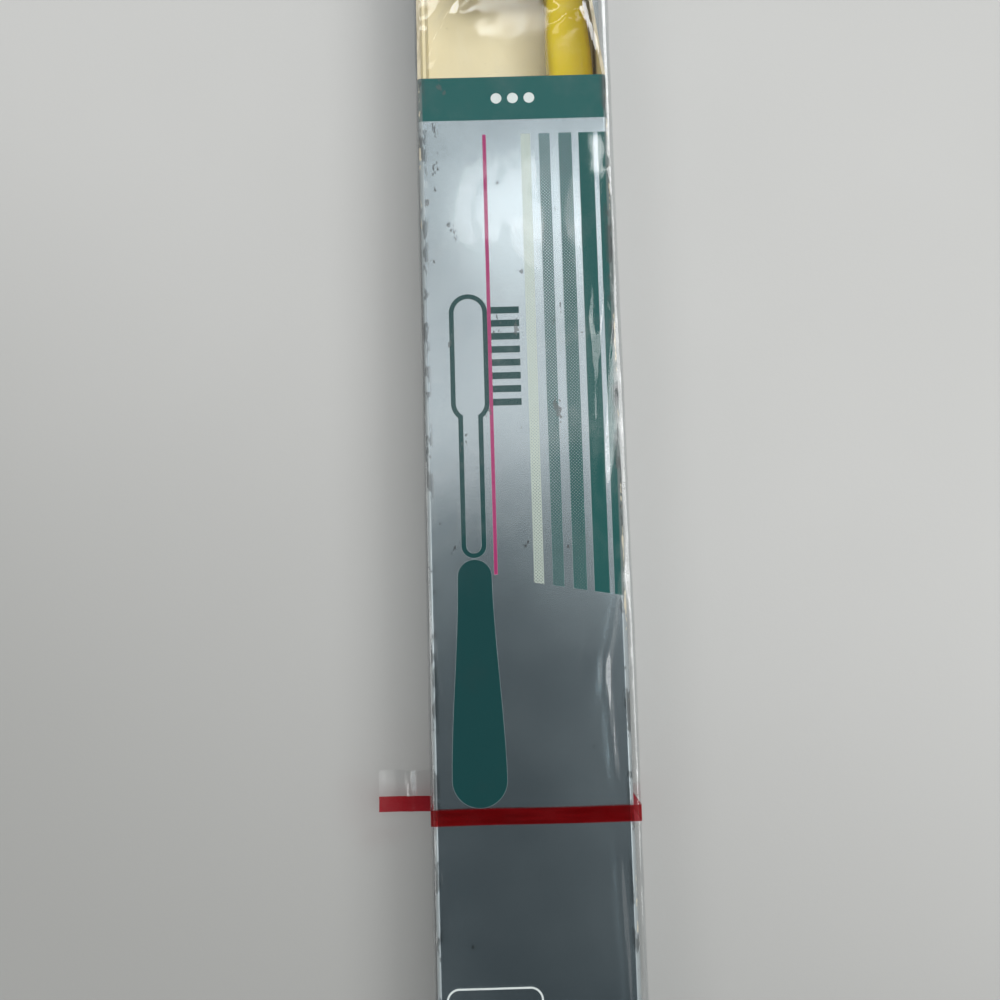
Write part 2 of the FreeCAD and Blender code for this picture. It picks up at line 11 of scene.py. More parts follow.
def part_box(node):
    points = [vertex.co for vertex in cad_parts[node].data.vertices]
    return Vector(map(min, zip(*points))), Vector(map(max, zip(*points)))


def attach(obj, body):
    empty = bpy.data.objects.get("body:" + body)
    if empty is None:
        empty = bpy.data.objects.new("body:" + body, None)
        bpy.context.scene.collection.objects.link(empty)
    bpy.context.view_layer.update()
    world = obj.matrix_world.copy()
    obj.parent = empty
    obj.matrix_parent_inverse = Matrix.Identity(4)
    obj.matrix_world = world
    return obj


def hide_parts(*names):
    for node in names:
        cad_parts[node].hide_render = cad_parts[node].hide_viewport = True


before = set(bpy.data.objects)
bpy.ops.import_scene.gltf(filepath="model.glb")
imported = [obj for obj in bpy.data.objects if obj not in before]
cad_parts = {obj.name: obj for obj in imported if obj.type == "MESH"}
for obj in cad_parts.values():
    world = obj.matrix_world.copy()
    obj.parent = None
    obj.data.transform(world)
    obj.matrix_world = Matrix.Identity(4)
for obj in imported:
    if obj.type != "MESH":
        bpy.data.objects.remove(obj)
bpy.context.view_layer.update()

MM = 0.001
ACROSS, ALONG, UP = 0, 1, 2

# Board
BOARD = 0.45 * MM
CREASE_ROUND = 0.55 * MM
WALL_LEAN = 2.4 * MM
LEAN_START = 10.6 * MM
LEAN_LEAD = 5 * MM
LEAN_EXTRA = 8 * MM
BOARD_WAVE = 0.10 * MM
LID_CLEARANCE = 0.1 * MM

# Overwrap
FILM = 0.05 * MM
FILM_FOLD = 0.5 * MM
FILM_DROP = 0.06 * MM
STAND_OFF = 0.55 * MM
STAND_OFF_REACH = 1.2 * MM
SWELL_HEIGHT = 0.28 * MM
FOLD_PINCH = 0.09 * MM
END_GAP = 0.25 * MM
END_FLAP = 0.06 * MM
END_FLAP_STEP = 0.03 * MM
END_FLAP_OVERLAP = 1.5 * MM
SEAM = 0.06 * MM
SEAM_GAP = 0.01 * MM
SEAM_HALF = 3 * MM
TAPE = 0.1 * MM
TAB_SHIFT = 0.45 * MM
TAB_SLANT = 0.035

# Brush
HANDLE_LENGTH = 138 * MM
REACH_LENGTH = 48 * MM
HANDLE_LEAN = math.radians(5)
HEAD_LEAN = math.radians(3.2)
BEND_RADIUS = 80 * MM
NECK_WIDTH = 6.8 * MM
NECK_THICKNESS = 6.3 * MM
HEAD_WIDTH = 11.2 * MM
HEAD_THICKNESS = 5 * MM
HEAD_LENGTH = 29 * MM
SHOULDER_LENGTH = 6 * MM
HEAD_TIP_RADIUS = 4.6 * MM
EDGE_RADIUS = 1.8 * MM
BUTT_RADIUS = 1.4 * MM
BUTT_EDGE_RADIUS = 0.4 * MM
HEAD_EDGE_RADIUS = 1.3 * MM
HEAD_TIP_ROUND = 1.2 * MM
# Width and thickness of the handle at even steps from butt to neck, in millimetres.
HANDLE_KEYS = ((10.4, 5.4), (12, 6.2), (10.2, 6.4), (11.6, 7), (6.8, 6.3))
TUFT_PITCH = 2.45 * MM
ROW_PITCH = 2.4 * MM
TIP_MARGIN = 3.2 * MM
TUFT_RADIUS = 0.82 * MM
BRISTLE_LENGTH = 11.5 * MM
BRISTLE_RADIUS = 0.1 * MM
BRISTLE_ROOT = 1.5 * MM
FILAMENT_RINGS = ((1, 6), (2, 12), (3, 17))
FILAMENT_SIDES = 5
FILAMENT_SPLAY = 0.13
TUFT_DOME = 0.28 * MM
TRIM_SPREAD = 0.12 * MM
TIP_SPREAD = 0.07 * MM

# Inks
CREAM_INK = (0.46, 0.52, 0.44, 1)
STRIPE_GREEN = (0.007, 0.084, 0.078, 1)
SIGN_GREEN = (0.001, 0.046, 0.047, 1)
BAND_GREEN = (0.008, 0.098, 0.092, 1)
MAGENTA_INK = (0.34, 0.03, 0.13, 1)
WHITE_INK = (0.68, 0.72, 0.70, 1)

# Finishes that wander between two tones
SILVER = ((0.545, 0.625, 0.665, 1), (0.595, 0.675, 0.71, 1))
FLAP_SILVER = ((0.50, 0.585, 0.625, 1), (0.62, 0.70, 0.73, 1))
CREAM_BOARD = ((0.82, 0.74, 0.51, 1), (0.87, 0.79, 0.56, 1))
BOARD_PLIES = ((0.40, 0.34, 0.23, 1), (0.66, 0.58, 0.42, 1))
YELLOW = ((0.70, 0.515, 0.003, 1), (0.74, 0.57, 0.007, 1))
NYLON = ((0.80, 0.80, 0.76, 1), (0.90, 0.90, 0.87, 1))
BRASS = ((0.62, 0.43, 0.16, 1), (0.76, 0.57, 0.26, 1))
RED_TAPE = ((0.13, 0.002, 0.003, 1), (0.18, 0.004, 0.006, 1))
PALE_TABLE = ((0.493, 0.493, 0.480, 1), (0.516, 0.516, 0.503, 1))

# Tints, wear, and painted shade on the folds and the table
FILM_GLOSS = (0.95, 0.96, 0.96, 1)
FILM_TINT = (0.985, 0.988, 0.988, 1)
TAPE_TINT = (0.96, 0.27, 0.33, 1)
PALE_FIBRE = (0.86, 0.80, 0.61, 1)
BROWN_SPECK = (0.40, 0.33, 0.20, 1)
DARK_SPECK = (0.09, 0.10, 0.10, 1)
# The rubbed and dirty fold colours darken the folds: part wear and dirt, part painted shade.
RUBBED_FOLD_AND_SHADE = (0.20, 0.21, 0.205, 1)
FOLD_DIRT_AND_SHADE = (0.06, 0.065, 0.065, 1)
CRACKED_FOLD = (0.62, 0.56, 0.44, 1)
FLAP_SCUFF = (0.30, 0.31, 0.30, 1)
# Painted shade: the table is darkened towards its near left corner.
TABLE_PAINTED_SHADE = (0.22, 0.22, 0.21, 1)


def corners(*nodes):
    """The lowest and highest corner of some nodes together."""
    boxes = [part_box(node) for node in nodes]
    low = Vector(min(box[0][axis] for box in boxes) for axis in range(3))
    high = Vector(max(box[1][axis] for box in boxes) for axis in range(3))
    return low, high


SLEEVE_LOW, SLEEVE_HIGH = corners("front_panel", "back_panel", "left_panel", "right_panel")
WINDOW_START = corners("front_panel")[1].y
WINDOW_END = corners("front_end_strip")[0].y
SIDE_END = corners("left_panel")[1].y
WRAP_LOW, WRAP_HIGH = corners("tear_tape")
HALF_WIDTH = SLEEVE_HIGH.x
FRONT = SLEEVE_HIGH.z


def deselect():
    if bpy.context.object and bpy.context.object.mode != "OBJECT":
        bpy.ops.object.mode_set(mode="OBJECT")
    bpy.ops.object.select_all(action="DESELECT")


def named(name):
    """Gives the piece that was just added its name."""
    piece = bpy.context.object
    piece.name = name
    piece.data.name = name
    return piece


def settle():
    """Puts a piece's place, turn and size into its mesh."""
    bpy.ops.object.transform_apply(location=True, rotation=True, scale=True)


def block(name, low, high):
    """A block between two corners, to be shaped further."""
    deselect()
    bpy.ops.mesh.primitive_cube_add(size=1, location=(low + high) / 2)
    piece = named(name)
    piece.scale = high - low
    settle()
    return piece


def pick(piece, kind, test):
    """In edit mode, selects only the faces, edges or verts that pass a test."""
    bpy.context.view_layer.objects.active = piece
    if piece.mode != "EDIT":
        bpy.ops.object.mode_set(mode="EDIT")
    modes = {"verts": (True, False, False), "edges": (False, True, False), "faces": (False, False, True)}
    bpy.context.tool_settings.mesh_select_mode = modes[kind]
    mesh = bmesh.from_edit_mesh(piece.data)
    mesh.normal_update()
    bpy.ops.mesh.select_all(action="DESELECT")
    for part in getattr(mesh, kind):
        part.select = bool(test(part))
    mesh.select_flush_mode()
    bmesh.update_edit_mesh(piece.data)


def run_of(edge):
    """The direction of an edge."""
    return (edge.verts[1].co - edge.verts[0].co).normalized()


def divide(piece, axis, parts):
    """Splits every edge that runs along an axis into equal parts."""
    pick(piece, "edges", lambda edge: abs(run_of(edge)[axis]) > 0.99)
    bpy.ops.mesh.subdivide(number_cuts=parts - 1)


def cut_across(piece, axis, place):
    """Cuts all faces along a plane square to an axis."""
    square = Vector((0, 0, 0))
    square[axis] = 1
    pick(piece, "faces", lambda face: True)
    bpy.ops.mesh.bisect(plane_co=square * place, plane_no=square)


def is_end(face):
    """True for a face at either end of the carton's length."""
    return abs(face.normal.y) > 0.9


def tube(name, low, high, is_open, fold, segments):
    """A block without the faces that pass a test, and with its long edges rounded."""
    piece = block(name, low, high)
    pick(piece, "faces", is_open)
    bpy.ops.mesh.delete(type="FACE")
    pick(piece, "edges", lambda edge: abs(run_of(edge).y) > 0.99)
    bpy.ops.mesh.bevel(offset=fold, segments=segments)
    return piece


def finish_mesh(piece):
    bpy.context.view_layer.objects.active = piece
    if piece.mode != "OBJECT":
        bpy.ops.object.mode_set(mode="OBJECT")


def take(piece):
    """Selects one piece alone and makes it the active one."""
    deselect()
    piece.select_set(True)
    bpy.context.view_layer.objects.active = piece


def apply_modifier(piece, kind, **settings):
    finish_mesh(piece)
    take(piece)
    modifier = piece.modifiers.new(kind.title(), kind)
    for name, value in settings.items():
        setattr(modifier, name, value)
    bpy.ops.object.modifier_apply(modifier=modifier.name)


def smooth(piece, angle):
    finish_mesh(piece)
    take(piece)
    bpy.ops.object.shade_smooth_by_angle(angle=math.radians(angle))


def join(name, pieces):
    """Makes one piece of several."""
    deselect()
    for piece in pieces:
        piece.select_set(True)
    bpy.context.view_layer.objects.active = pieces[0]
    bpy.ops.object.join()
    return named(name)


def move_points(piece, shift):
    """Moves each point of a piece by what a function of its place and normal gives."""
    finish_mesh(piece)
    mesh = bmesh.new()
    mesh.from_mesh(piece.data)
    mesh.normal_update()
    moves = [(vert, shift(vert.co.copy(), vert.normal.copy())) for vert in mesh.verts]
    for vert, move in moves:
        vert.co += move
    mesh.to_mesh(piece.data)
    mesh.free()


def ease(value, low, high):
    """Rises smoothly from 0 to 1 as a value goes from low to high, or from high to low."""
    share = min(max((value - low) / (high - low), 0), 1)
    return share * share * (3 - 2 * share)


def dress(piece, body, slot, nodes, *finishes):
    """Gives a piece its finishes and its body, and hides the CAD nodes that it stands for. The slot is not
    used.
    """
    for finish in finishes:
        piece.data.materials.append(finish)
    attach(piece, body)
    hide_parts(*nodes)


class Finish:
    """A node material on Object coordinates, with short calls for the nodes that it is made of."""

    def __init__(self, name):
        self.material = bpy.data.materials.new(name)
        self.material.use_nodes = True
        self.tree = self.material.node_tree
        self.surface = self.tree.nodes["Principled BSDF"]
        self.output = self.tree.nodes["Material Output"]
        self.coordinates = self.node("ShaderNodeTexCoord")
        self.place = self.coordinates.outputs["Object"]
        self.x, self.y, self.z = self.node("ShaderNodeSeparateXYZ", Vector=self.place).outputs

    def feed(self, socket, value):
        if isinstance(value, bpy.types.NodeSocket):
            self.tree.links.new(value, socket)
        else:
            socket.default_value = value

    def node(self, kind, settings=None, **inputs):
        made = self.tree.nodes.new(kind)
        for name, value in (settings or {}).items():
            setattr(made, name, value)
        for name, value in inputs.items():
            self.feed(made.inputs[name.replace("_", " ")], value)
        return made

    def set(self, **inputs):
        """Sets or links inputs of the main surface shader."""
        for name, value in inputs.items():
            self.feed(self.surface.inputs[name.replace("_", " ")], value)

    def math(self, operation, *values):
        made = self.tree.nodes.new("ShaderNodeMath")
        made.operation = operation
        for socket, value in zip(made.inputs, values):
            self.feed(socket, value)
        return made.outputs[0]

    def spread(self, value, low, high, start=0.0, end=1.0):
        """Maps a value from one range to another, eased and clamped."""
        made = self.node("ShaderNodeMapRange", {"interpolation_type": "SMOOTHSTEP"})
        for name, number in (("Value", value), ("From Min", low), ("From Max", high)):
            self.feed(made.inputs[name], number)
        made.inputs["To Min"].default_value = start
        made.inputs["To Max"].default_value = end
        return made.outputs[0]

    def between(self, value, low, high, soft=0.03 * MM):
        """1 where a value lies between two limits, with a soft edge."""
        rising = self.spread(value, low - soft, low + soft)
        falling = self.spread(value, high - soft, high + soft, 1.0, 0.0)
        return self.math("MULTIPLY", rising, falling)

    def inside(self, distance, soft=0.04 * MM):
        """1 where a distance from an outline is negative."""
        return self.spread(distance, -soft, soft, 1.0, 0.0)

    def noise(self, scale, detail=3.0, stretch=(1, 1, 1), roughness=0.55, shift=(0, 0, 0)):
        turned = self.node("ShaderNodeMapping", Vector=self.place, Scale=stretch, Location=shift)
        made = self.node("ShaderNodeTexNoise", Vector=turned.outputs[0], Scale=scale, Detail=detail)
        made.inputs["Roughness"].default_value = roughness
        return made.outputs[0]

    def mix(self, share, under, over):
        made = self.node("ShaderNodeMix", {"data_type": "RGBA"})
        self.feed(made.inputs["Factor"], share)
        for index, value in ((6, under), (7, over)):
            self.feed(made.inputs[index], value)
        return made.outputs[2]

    def blend(self, share, under, over):
        """Mixes two numbers."""
        made = self.node("ShaderNodeMix", {"data_type": "FLOAT"})
        for index, value in ((0, share), (2, under), (3, over)):
            self.feed(made.inputs[index], value)
        return made.outputs[0]

    def any(self, *masks):
        """The strongest of several masks."""
        result = masks[0]
        for mask in masks[1:]:
            result = self.math("MAXIMUM", result, mask)
        return result

    def all(self, *masks):
        result = masks[0]
        for mask in masks[1:]:
            result = self.math("MULTIPLY", result, mask)
        return result

    def bump(self, height, distance, strength):
        made = self.node("ShaderNodeBump", Height=height, Distance=distance, Strength=strength)
        return made.outputs[0]


def capsule(finish, x, start, end, radius):
    """The distance from the outline of an upright bar with round ends."""
    along = finish.math("MINIMUM", finish.math("MAXIMUM", finish.y, start), end)
    across = finish.math("SUBTRACT", finish.x, x)
    rest = finish.math("SUBTRACT", finish.y, along)
    squares = finish.math("ADD", finish.math("MULTIPLY", across, across), finish.math("MULTIPLY", rest, rest))
    return finish.math("SUBTRACT", finish.math("SQRT", squares), radius)


def rounded_box(finish, low, high, radius):
    """The distance from the outline of a box with round corners, its corners in millimetres."""
    squares = []
    for value, start, end in zip((finish.x, finish.y), low, high):
        from_middle = finish.math("ABSOLUTE", finish.math("SUBTRACT", value, (start + end) / 2 * MM))
        past = finish.math("SUBTRACT", from_middle, ((end - start) / 2 - radius) * MM)
        past = finish.math("MAXIMUM", past, 0.0)
        squares.append(finish.math("MULTIPLY", past, past))
    return finish.math("SUBTRACT", finish.math("SQRT", finish.math("ADD", *squares)), radius * MM)


def line_round(finish, distance, half):
    """A line of even width along an outline."""
    return finish.inside(finish.math("SUBTRACT", finish.math("ABSOLUTE", distance), half))


def brush_sign(finish):
    """A plain drawing of a brush: a solid handle, an outlined neck and head, and bars for the bristles."""
    x = -6.7 * MM
    grip_radius = finish.spread(finish.y, -45 * MM, -17 * MM, 3.5 * MM, 2.2 * MM)
    grip = finish.inside(capsule(finish, x, -43.6 * MM, -18 * MM, grip_radius))
    neck = capsule(finish, x, -14 * MM, 3 * MM, 1.3 * MM)
    head = capsule(finish, x, 4.6 * MM, 16.6 * MM, 2.2 * MM)
    upper = finish.math("MINIMUM", neck, head)
    outline = line_round(finish, upper, 0.32 * MM)
    pitch = 1.75 * MM
    step = finish.math("PINGPONG", finish.math("ADD", finish.y, 40 * MM), pitch / 2)
    bars = finish.all(
        finish.between(step, 0.42 * MM, pitch),
        finish.between(finish.x, x + 2.9 * MM, x + 6.7 * MM),
        finish.between(finish.y, 3.75 * MM, 17.75 * MM),
    )
    return finish.any(grip, outline, bars)


# The left and right edges of the printed stripes, in millimetres.
STRIPES = ((0.9, 2.2), (3.33, 4.8), (5.95, 7.7), (8.63, 10.6), (11.2, 13.2))
STRIPE_TOP = WINDOW_START - 8.0 * MM
BAND_DEPTH = 6.0 * MM


def stripe(finish, number):
    """One of the long stripes, with its slanted lower end."""
    low, high = (edge * MM for edge in STRIPES[number])
    slant = finish.math("MULTIPLY_ADD", finish.x, 0.17, finish.y)
    lower = finish.spread(slant, -18.85 * MM, -18.78 * MM)
    upper = finish.spread(finish.y, STRIPE_TOP - 0.03 * MM, STRIPE_TOP + 0.03 * MM, 1.0, 0.0)
    return finish.all(finish.between(finish.x, low, high), lower, upper)


def screen(finish, cover):
    """The dots of a printed tint, covering about a given share."""
    pitch = 0.3 * MM
    turned = finish.node("ShaderNodeMapping", Vector=finish.place, Rotation=(0, 0, math.radians(45)))
    across, along, _ = finish.node("ShaderNodeSeparateXYZ", Vector=turned.outputs[0]).outputs
    turns = 2 * math.pi / pitch
    waves = [finish.math("SINE", finish.math("MULTIPLY", part, turns)) for part in (across, along)]
    height = finish.math("ADD", *waves)
    level = 2 - 4 * cover
    return finish.spread(height, level * 0.7 - 0.3, level * 0.7 + 0.3)


def print_artwork(finish, silver):
    """Lays the inks over the silver, and gives the colour and the share that is covered."""
    on_front = finish.spread(finish.z, FRONT - 0.45 * MM, FRONT - 0.25 * MM)
    band = finish.between(finish.y, WINDOW_START - BAND_DEPTH, WINDOW_START + MM)
    band = finish.all(band, on_front)
    pale = finish.all(stripe(finish, 0), screen(finish, 0.62), on_front)
    tint_covers = ((1, 0.66), (2, 0.86))
    tints = [finish.all(stripe(finish, number), screen(finish, cover)) for number, cover in tint_covers]
    solids = [stripe(finish, number) for number in (3, 4)]
    stripes = finish.all(finish.any(*tints, *solids), on_front)
    sign = finish.all(brush_sign(finish), on_front)
    fine = finish.all(
        finish.between(finish.x, -4.2 * MM, -3.72 * MM),
        finish.between(finish.y, -17.8 * MM, STRIPE_TOP),
        on_front,
    )
    empty_box = rounded_box(finish, (-11.4, -92), (0.4, -69), 1.5)
    box_line = line_round(finish, empty_box, 0.11 * MM)
    dots = [finish.inside(capsule(finish, x * MM, y, y, 0.72 * MM)) for x, y in band_dots()]
    light = finish.all(finish.any(box_line, *dots), on_front)
    colour = finish.mix(pale, silver, CREAM_INK)
    masks = (stripes, sign, band, fine, light)
    inks = (STRIPE_GREEN, SIGN_GREEN, BAND_GREEN, MAGENTA_INK, WHITE_INK)
    for mask, ink in zip(masks, inks):
        colour = finish.mix(mask, colour, ink)
    return colour, finish.any(*masks, finish.math("MULTIPLY", pale, 0.8))


def band_dots():
    """Three plain dots in the middle of the band."""
    y = WINDOW_START - BAND_DEPTH / 2
    return [(-2.2, y), (0, y), (2.2, y)]


def fold_wear_and_shade(finish):
    """Scuffed folds: where the print is cracked through to the board, and bands of dark dirt and dull rubbed
    ink that also serve as painted shade along the folds.
    """
    from_side = finish.math("SUBTRACT", HALF_WIDTH, finish.math("ABSOLUTE", finish.x))
    height = finish.math("SUBTRACT", finish.z, FRONT / 2)
    from_face = finish.math("SUBTRACT", FRONT / 2, finish.math("ABSOLUTE", height))
    reach = finish.math("ADD", from_side, from_face)
    near = finish.spread(reach, 0.25 * MM, 0.85 * MM, 1.0, 0.0)
    coarse = finish.noise(420, 4.0, (1.0, 0.55, 1.0), 0.65)
    fine = finish.noise(2600, 3.0, (1.0, 0.5, 1.0), 0.6)
    grain = finish.blend(0.35, coarse, fine)
    cracked = finish.spread(finish.math("MULTIPLY", near, grain), 0.45, 0.51)
    other = finish.noise(520, 4.0, (1.0, 0.4, 1.0), 0.65, (0.31, 0.17, 0.05))
    wide = finish.spread(reach, 0.4 * MM, 1.3 * MM, 1.0, 0.0)
    dirt_and_shade = finish.all(wide, finish.spread(other, 0.52, 0.57))
    rubbed_and_shade = finish.spread(reach, 0.5 * MM, 0.75 * MM, 1.0, 0.0)
    return cracked, dirt_and_shade, rubbed_and_shade


def silver_print():
    """Silver ink on board: fine grain, green and pale artwork, scuffs, and worn folds that also carry painted
    shade.
    """
    finish = Finish("silver_print")
    cloud = finish.noise(60, 2.0)
    grain = finish.noise(5200, 2.0)
    tone = finish.blend(0.3, cloud, grain)
    silver = finish.mix(finish.spread(tone, 0.35, 0.65), *SILVER)
    colour, ink = print_artwork(finish, silver)
    handled = finish.spread(finish.x, -9 * MM, -6 * MM, 0.035, 0.0)
    clean = finish.spread(finish.y, -30 * MM, 5 * MM, 0.045, 0.0)
    scratch = finish.math("ADD", finish.noise(520, 3.0, (1.0, 0.5, 1.0), 0.6), handled)
    scratch = finish.math("SUBTRACT", scratch, clean)
    specks = finish.spread(scratch, 0.69, 0.72)
    cracked, dirt_and_shade, rubbed_and_shade = fold_wear_and_shade(finish)
    colour = finish.mix(finish.math("MULTIPLY", specks, 0.6), colour, DARK_SPECK)
    # Painted shade along the folds, mixed with real rubbing and dirt.
    colour = finish.mix(finish.math("MULTIPLY", rubbed_and_shade, 0.7), colour, RUBBED_FOLD_AND_SHADE)
    colour = finish.mix(finish.math("MULTIPLY", dirt_and_shade, 0.75), colour, FOLD_DIRT_AND_SHADE)
    colour = finish.mix(cracked, colour, CRACKED_FOLD)
    dull = finish.any(ink, cracked, rubbed_and_shade)
    rough = finish.blend(dull, finish.spread(cloud, 0.3, 0.7, 0.165, 0.185), 0.5)
    relief = finish.math("MULTIPLY_ADD", grain, 0.16, finish.math("MULTIPLY", cloud, 0.02))
    relief = finish.math("SUBTRACT", relief, cracked)
    finish.set(
        Base_Color=colour,
        Metallic=finish.math("SUBTRACT", 1.0, dull),
        Roughness=rough,
        Specular_IOR_Level=0.15,
        Normal=finish.bump(relief, 0.05 * MM, 0.3),
    )
    return finish.material


def raw_board_colour(finish):
    """Cream board with long fibres and faint specks."""
    fibre = finish.noise(900, 5.0, (1.0, 0.25, 1.0), 0.7)
    cloud = finish.noise(90, 3.0)
    speck = finish.spread(finish.noise(3200, 2.0), 0.68, 0.74)
    colour = finish.mix(finish.spread(cloud, 0.3, 0.7), *CREAM_BOARD)
    strands = finish.math("MULTIPLY", finish.spread(fibre, 0.45, 0.75), 0.35)
    colour = finish.mix(strands, colour, PALE_FIBRE)
    return finish.mix(finish.math("MULTIPLY", speck, 0.4), colour, BROWN_SPECK), fibre


def raw_board():
    finish = Finish("raw_board")
    colour, fibre = raw_board_colour(finish)
    relief = finish.bump(fibre, 0.06 * MM, 0.5)
    finish.set(Base_Color=colour, Roughness=0.88, Specular_IOR_Level=0.25, Normal=relief)
    return finish.material


def cut_edge():
    """The cut edge of the board, darker and with its plies showing."""
    finish = Finish("cut_edge")
    plies = finish.noise(1800, 4.0, (1.0, 0.2, 1.0), 0.7)
    colour = finish.mix(finish.spread(plies, 0.35, 0.65), *BOARD_PLIES)
    finish.set(Base_Color=colour, Roughness=0.92, Normal=finish.bump(plies, 0.08 * MM, 0.8))
    return finish.material


def flap_board(name, direction):
    """Board that is silver on the face towards a direction and raw on its back and edges."""
    finish = Finish(name)
    facing = finish.node("ShaderNodeVectorMath", {"operation": "DOT_PRODUCT"})
    finish.feed(facing.inputs[0], finish.coordinates.outputs["Normal"])
    finish.feed(facing.inputs[1], direction)
    printed = finish.spread(facing.outputs["Value"], 0.6, 0.8)
    raw, fibre = raw_board_colour(finish)
    grain = finish.noise(5200, 2.0)
    silver = finish.mix(finish.spread(grain, 0.35, 0.65), *FLAP_SILVER)
    scuff = finish.spread(finish.noise(300, 5.0, roughness=0.7), 0.64, 0.70)
    silver = finish.mix(finish.math("MULTIPLY", scuff, 0.5), silver, FLAP_SCUFF)
    finish.set(
        Base_Color=finish.mix(printed, raw, silver),
        Metallic=finish.math("MULTIPLY", printed, finish.math("SUBTRACT", 1.0, scuff)),
        Roughness=finish.blend(printed, 0.88, 0.32),
        Normal=finish.bump(fibre, 0.05 * MM, 0.4),
    )
    return finish.material


def yellow_plastic():
    """Clear yellow moulding with faint flow clouds."""
    finish = Finish("yellow_plastic")
    flow = finish.noise(70, 3.0, (1.0, 0.3, 1.0))
    colour = finish.mix(finish.spread(flow, 0.35, 0.65), *YELLOW)
    fine = finish.noise(900, 3.0)
    finish.set(
        Base_Color=colour,
        Roughness=finish.spread(fine, 0.3, 0.7, 0.09, 0.16),
        Transmission_Weight=0.12,
        IOR=1.45,
        Subsurface_Weight=0.5,
        Subsurface_Radius=(1.0, 0.75, 0.1),
        Subsurface_Scale=2 * MM,
        Normal=finish.bump(flow, 0.15 * MM, 0.15),
    )
    return finish.material


def nylon_bristle():
    finish = Finish("nylon_bristle")
    fine = finish.noise(2400, 2.0)
    colour = finish.mix(finish.spread(fine, 0.35, 0.65), *NYLON)
    finish.set(Base_Color=colour, Roughness=0.34, Subsurface_Weight=0.25, Subsurface_Scale=0.4 * MM)
    return finish.material


def brass_anchor():
    finish = Finish("brass_anchor")
    rolled = finish.noise(3000, 3.0, (0.2, 1.0, 1.0))
    colour = finish.mix(finish.spread(rolled, 0.35, 0.65), *BRASS)
    finish.set(Base_Color=colour, Metallic=1.0, Roughness=finish.spread(rolled, 0.3, 0.7, 0.22, 0.4))
    return finish.material


def see_through(finish, share, gloss):
    """Mixes a shader over plain see-through, and sends it to the output."""
    clear = finish.node("ShaderNodeBsdfTransparent")
    mixed = finish.node("ShaderNodeMixShader")
    finish.feed(mixed.inputs[0], share)
    finish.tree.links.new(clear.outputs[0], mixed.inputs[1])
    finish.tree.links.new(gloss, mixed.inputs[2])
    finish.tree.links.new(mixed.outputs[0], finish.output.inputs["Surface"])
    return clear


def clear_film():
    """Clear film: see-through, with gloss that grows at a slant and a faint haze on its creases."""
    finish = Finish("clear_film")
    crinkle = finish.noise(140, 2.0, (1.0, 0.6, 1.0), 0.5)
    haze = finish.spread(finish.noise(160, 4.0, roughness=0.65), 0.50, 0.80, 0.0, 0.05)
    finish.set(
        Base_Color=FILM_GLOSS,
        Roughness=finish.spread(crinkle, 0.3, 0.7, 0.04, 0.09),
        Metallic=1.0,
        Normal=finish.bump(crinkle, 0.5 * MM, 0.3),
    )
    gloss = finish.math("MINIMUM", finish.node("ShaderNodeFresnel", IOR=1.42).outputs[0], 0.22)
    clear = see_through(finish, finish.math("ADD", gloss, haze), finish.surface.outputs[0])
    clear.inputs["Color"].default_value = FILM_TINT
    return finish.material


def red_tape():
    """Red tear tape: a tinted film, denser in streaks along its length."""
    finish = Finish("red_tape")
    streak = finish.noise(1500, 3.0, (0.08, 1.0, 0.08))
    cloud = finish.noise(260, 3.0)
    colour = finish.mix(finish.spread(streak, 0.35, 0.65), *RED_TAPE)
    finish.set(Base_Color=colour, Roughness=finish.spread(cloud, 0.3, 0.7, 0.12, 0.24))
    density = finish.spread(streak, 0.3, 0.7, 0.27, 0.33)
    clear = see_through(finish, density, finish.surface.outputs[0])
    clear.inputs["Color"].default_value = TAPE_TINT
    return finish.material


def pale_table():
    finish = Finish("pale_table")
    cloud = finish.noise(9, 3.0)
    weave = finish.noise(1400, 3.0)
    colour = finish.mix(finish.spread(cloud, 0.3, 0.7), *PALE_TABLE)
    # Painted shade: the table grows darker towards its near left, where the room's shade falls.
    near = finish.spread(finish.math("MULTIPLY_ADD", finish.x, 0.6, finish.y), -0.13, 0.05, 0.70, 0.0)
    colour = finish.mix(near, colour, TABLE_PAINTED_SHADE)
    relief = finish.bump(weave, 0.05 * MM, 0.25)
    finish.set(Base_Color=colour, Roughness=0.75, Specular_IOR_Level=0.2, Normal=relief)
    return finish.material


